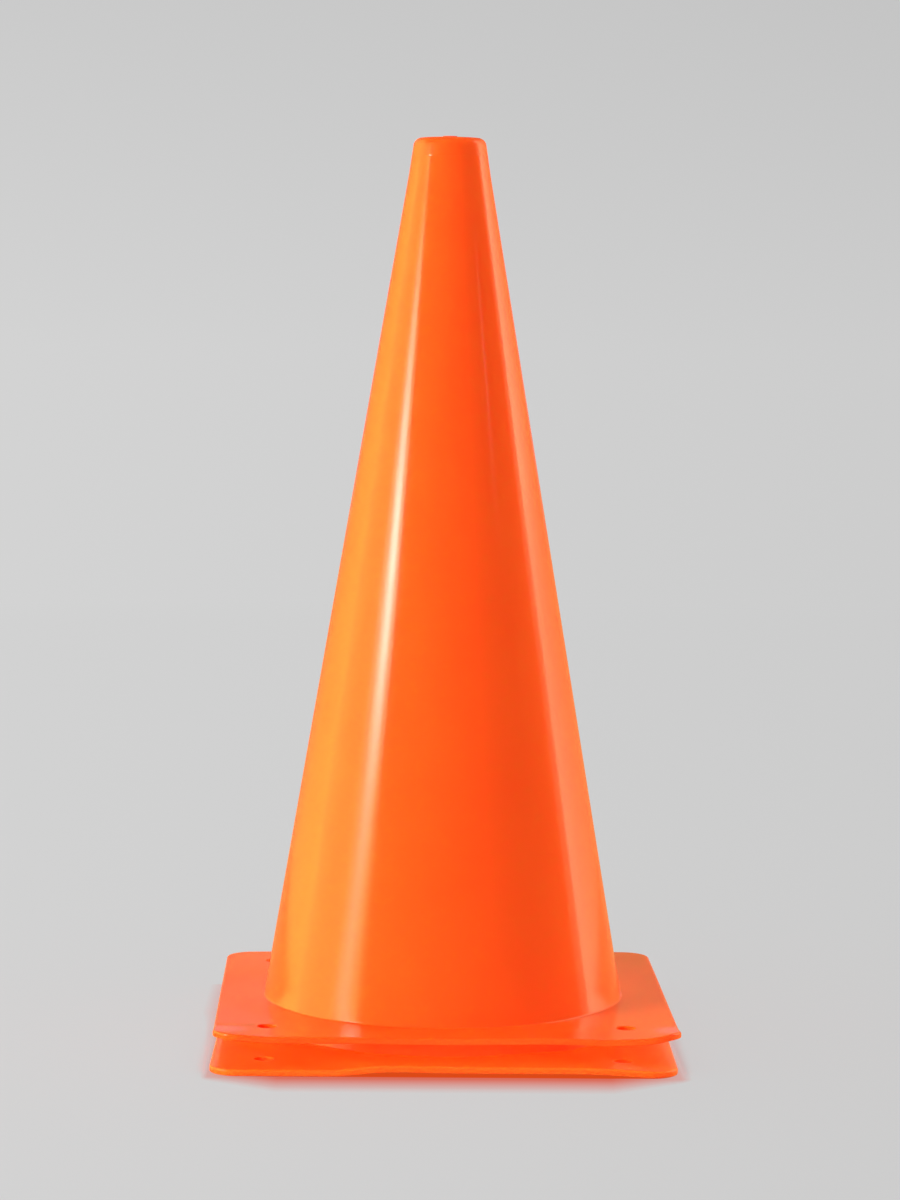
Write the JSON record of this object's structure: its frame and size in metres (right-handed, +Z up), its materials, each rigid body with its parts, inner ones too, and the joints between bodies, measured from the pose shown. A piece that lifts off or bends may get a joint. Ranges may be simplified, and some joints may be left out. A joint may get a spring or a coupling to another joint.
{
  "type": "training cone",
  "caption": "Tall orange plastic training cone on a square flange with corner peg holes, nested over an identical cone that it lifts off to mark out sports drills.",
  "frame": {"origin": "on the cones' common axis, at the floor under the lower cone's flange", "axes": "+Z up along the cones' axis; the lower flange's sides lie along X and Y, and -Y is the side the picture shows"},
  "size_m": [0.2432, 0.2432, 0.4799],
  "materials": {
    "orange_plastic": "glossy, slightly see-through orange polyethylene"
  },
  "bodies": {
    "lower_cone": {"cone_lower": "orange_plastic"},
    "upper_cone": {"cone_upper": "orange_plastic"}
  },
  "joints": [
    {"name": "cone_lift", "type": "slide", "parent": "lower_cone", "child": "upper_cone", "axis": [0, 0, 1], "range_m": [0, 0.48]}
  ]
}
